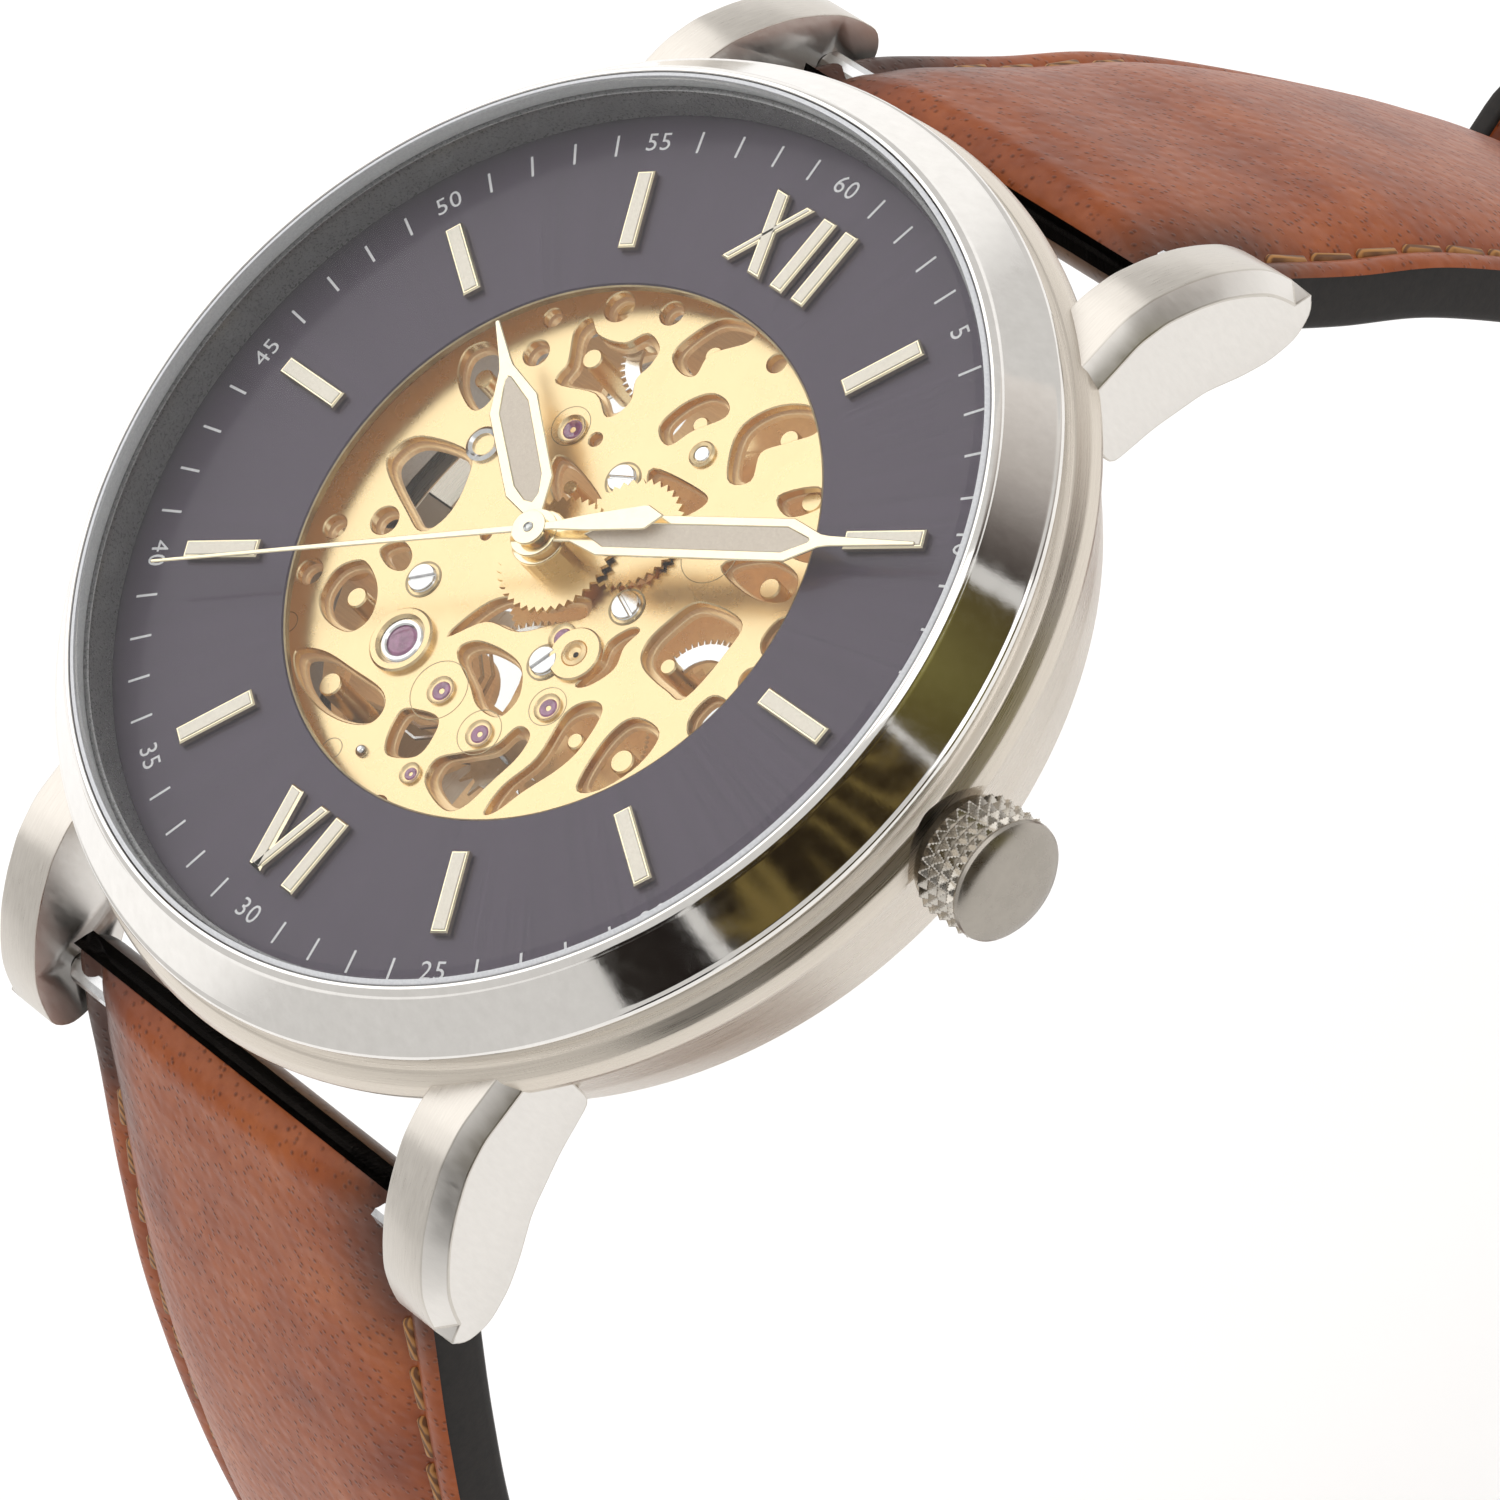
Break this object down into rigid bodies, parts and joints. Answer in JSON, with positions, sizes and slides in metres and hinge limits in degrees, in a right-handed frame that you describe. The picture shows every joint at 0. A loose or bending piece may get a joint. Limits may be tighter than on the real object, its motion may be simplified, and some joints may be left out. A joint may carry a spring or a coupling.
{
  "type": "skeleton wristwatch",
  "caption": "Skeleton automatic wristwatch: round steel case, gilt movement seen through a dial window, curled padded leather strap with pin buckle.",
  "frame": {"origin": "on the dial axis, in the flat outer face of the case back", "axes": "+Z out of the dial through the crystal, +Y to 12 o'clock, +X to the crown at 3 o'clock"},
  "size_m": [0.0467, 0.0873, 0.0983],
  "materials": {
    "polished_steel": "polished",
    "brushed_steel": "brushed",
    "gilt": "polished gilt",
    "brass": "satin",
    "dark_steel": "satin",
    "dial_paint": "sunray satin, dark blue grey",
    "rehaut_paint": "satin, dark grey",
    "crystal": "polished",
    "rubber": "matte",
    "plastic": "satin",
    "leather": "grained, padded, edge painted"
  },
  "bodies": {
    "case": {"case_middle": "brushed_steel", "bezel": "polished_steel", "crystal": "crystal", "crystal_gasket": "plastic", "rehaut_ring": "rehaut_paint", "dial": "dial_paint", "index_1": "gilt", "index_2": "gilt", "index_3": "gilt", "index_4": "gilt", "index_5": "gilt", "index_7": "gilt", "index_8": "gilt", "index_9": "gilt", "index_10": "gilt", "index_11": "gilt", "numeral_12": "gilt", "numeral_6": "gilt", "main_plate": "gilt", "train_bridge": "gilt", "balance_cock": "gilt", "auto_bridge": "gilt", "movement_ring": "plastic", "shock_setting": "brass", "rotor_screw": "polished_steel", "case_back": "brushed_steel", "case_back_glass": "crystal", "case_back_gasket": "rubber", "spring_bar_12": "dark_steel", "spring_bar_6": "dark_steel"},
    "seconds": {"seconds_hand": "gilt", "seconds_pinion": "dark_steel"},
    "minutes": {"minute_hand": "gilt", "cannon_pinion": "dark_steel"},
    "hours": {"hour_hand": "gilt", "hour_wheel": "brass"},
    "minute_wheel": {"minute_wheel": "brass"},
    "center_wheel": {"center_wheel": "brass"},
    "third_wheel": {"third_wheel": "brass"},
    "fourth_wheel": {"fourth_wheel": "brass"},
    "escape_wheel": {"escape_wheel": "dark_steel"},
    "barrel": {"barrel": "brass"},
    "pallet_fork": {"pallet_fork": "dark_steel"},
    "balance": {"balance_wheel": "brass", "hairspring": "dark_steel"},
    "rotor": {"rotor": "polished_steel"},
    "ratchet_wheel": {"ratchet_wheel": "dark_steel"},
    "crown_wheel": {"crown_wheel": "dark_steel"},
    "winding_pinion": {"winding_pinion": "dark_steel"},
    "sliding_clutch": {"sliding_clutch": "dark_steel"},
    "crown_gasket": {"crown_gasket": "rubber"},
    "crown": {"crown": "brushed_steel", "winding_stem": "dark_steel"},
    "strap_12": {"strap_12": "leather", "keeper_fixed": "leather", "buckle_bar": "dark_steel"},
    "strap_6": {"strap_6": "leather"},
    "keeper_free": {"keeper_free": "leather"},
    "buckle_frame": {"buckle_frame": "polished_steel"},
    "buckle_tongue": {"buckle_tongue": "polished_steel"}
  },
  "joints": [
    {"name": "seconds_spin", "type": "hinge", "parent": "case", "child": "seconds", "pos_m": [0, 0, 0.0109], "axis": [0, 0, -1], "continuous": true},
    {"name": "third_wheel_spin", "type": "hinge", "parent": "case", "child": "third_wheel", "pos_m": [0.00263, -0.00218, 0.0046], "axis": [0, 0, -1], "continuous": true},
    {"name": "fourth_wheel_spin", "type": "hinge", "parent": "case", "child": "fourth_wheel", "pos_m": [0.00456, -0.005, 0.0057], "axis": [0, 0, -1], "continuous": true},
    {"name": "escape_wheel_spin", "type": "hinge", "parent": "case", "child": "escape_wheel", "pos_m": [0.0026, -0.0072, 0.0065], "axis": [0, 0, -1], "continuous": true},
    {"name": "center_wheel_spin", "type": "hinge", "parent": "case", "child": "center_wheel", "pos_m": [0, 0, 0.0065], "axis": [0, 0, -1], "continuous": true},
    {"name": "barrel_spin", "type": "hinge", "parent": "case", "child": "barrel", "pos_m": [0.00442, 0.00481, 0.0056], "axis": [0, 0, -1], "continuous": true},
    {"name": "minute_spin", "type": "hinge", "parent": "case", "child": "minutes", "pos_m": [0, 0, 0.0104], "axis": [0, 0, -1], "continuous": true},
    {"name": "minute_wheel_spin", "type": "hinge", "parent": "case", "child": "minute_wheel", "pos_m": [0.0019, 0.00232, 0.0084], "axis": [0, 0, -1], "continuous": true},
    {"name": "hour_spin", "type": "hinge", "parent": "case", "child": "hours", "pos_m": [0, 0, 0.00995], "axis": [0, 0, -1], "continuous": true},
    {"name": "pallet_swing", "type": "hinge", "parent": "case", "child": "pallet_fork", "pos_m": [-0.00035, -0.00675, 0.0065], "axis": [0, 0, -1], "range_deg": [-5, 5]},
    {"name": "balance_swing", "type": "hinge", "parent": "case", "child": "balance", "pos_m": [-0.00365, -0.006, 0.0055], "axis": [0, 0, -1], "range_deg": [-135, 135], "stiffness_Nm_per_rad": 0.0000004},
    {"name": "rotor_spin", "type": "hinge", "parent": "case", "child": "rotor", "pos_m": [0, 0, 0.0022], "axis": [0, 0, -1], "continuous": true},
    {"name": "crown_pull", "type": "slide", "parent": "case", "child": "crown_gasket", "axis": [1, 0, 0], "range_m": [0, 0.0012]},
    {"name": "crown_turn", "type": "hinge", "parent": "crown_gasket", "child": "crown", "pos_m": [0.0217, 0, 0.0057], "axis": [1, 0, 0], "continuous": true},
    {"name": "winding_pinion_turn", "type": "hinge", "parent": "case", "child": "winding_pinion", "pos_m": [0.0103, 0, 0.0057], "axis": [1, 0, 0], "continuous": true},
    {"name": "sliding_clutch_turn", "type": "hinge", "parent": "case", "child": "sliding_clutch", "pos_m": [0.0091, 0, 0.0057], "axis": [1, 0, 0], "continuous": true},
    {"name": "crown_wheel_spin", "type": "hinge", "parent": "case", "child": "crown_wheel", "pos_m": [0.0089, 0.0017, 0.0046], "axis": [0, 0, -1], "continuous": true},
    {"name": "ratchet_wheel_spin", "type": "hinge", "parent": "case", "child": "ratchet_wheel", "pos_m": [0.00442, 0.00481, 0.0046], "axis": [0, 0, -1], "continuous": true},
    {"name": "strap_12_swing", "type": "hinge", "parent": "case", "child": "strap_12", "pos_m": [0, 0.023, 0.0023], "axis": [1, 0, 0], "range_deg": [0, 45]},
    {"name": "strap_6_swing", "type": "hinge", "parent": "case", "child": "strap_6", "pos_m": [0, -0.023, 0.0023], "axis": [-1, 0, 0], "range_deg": [0, 45]},
    {"name": "keeper_slide", "type": "slide", "parent": "strap_12", "child": "keeper_free", "axis": [0, 0.1768, -0.9842], "range_m": [-0.003, 0.003]},
    {"name": "buckle_swing", "type": "hinge", "parent": "strap_12", "child": "buckle_frame", "pos_m": [0, 0.0379, -0.0695], "axis": [-1, 0, 0], "range_deg": [-25, 40]},
    {"name": "tongue_swing", "type": "hinge", "parent": "buckle_frame", "child": "buckle_tongue", "pos_m": [0, 0.0379, -0.0695], "axis": [1, 0, 0], "range_deg": [0, 70]}
  ],
  "couplings": [
    {"joint": "third_wheel_spin", "follows": "seconds_spin", "ratio": -0.13333},
    {"joint": "fourth_wheel_spin", "follows": "seconds_spin", "ratio": 1},
    {"joint": "escape_wheel_spin", "follows": "seconds_spin", "ratio": -12},
    {"joint": "center_wheel_spin", "follows": "seconds_spin", "ratio": 0.016667},
    {"joint": "barrel_spin", "follows": "seconds_spin", "ratio": -0.0027778},
    {"joint": "minute_wheel_spin", "follows": "minute_spin", "ratio": -0.33333},
    {"joint": "hour_spin", "follows": "minute_spin", "ratio": 0.083333},
    {"joint": "winding_pinion_turn", "follows": "crown_turn", "ratio": 1},
    {"joint": "sliding_clutch_turn", "follows": "crown_turn", "ratio": 1},
    {"joint": "crown_wheel_spin", "follows": "crown_turn", "ratio": -0.5},
    {"joint": "ratchet_wheel_spin", "follows": "crown_turn", "ratio": 0.29167}
  ]
}
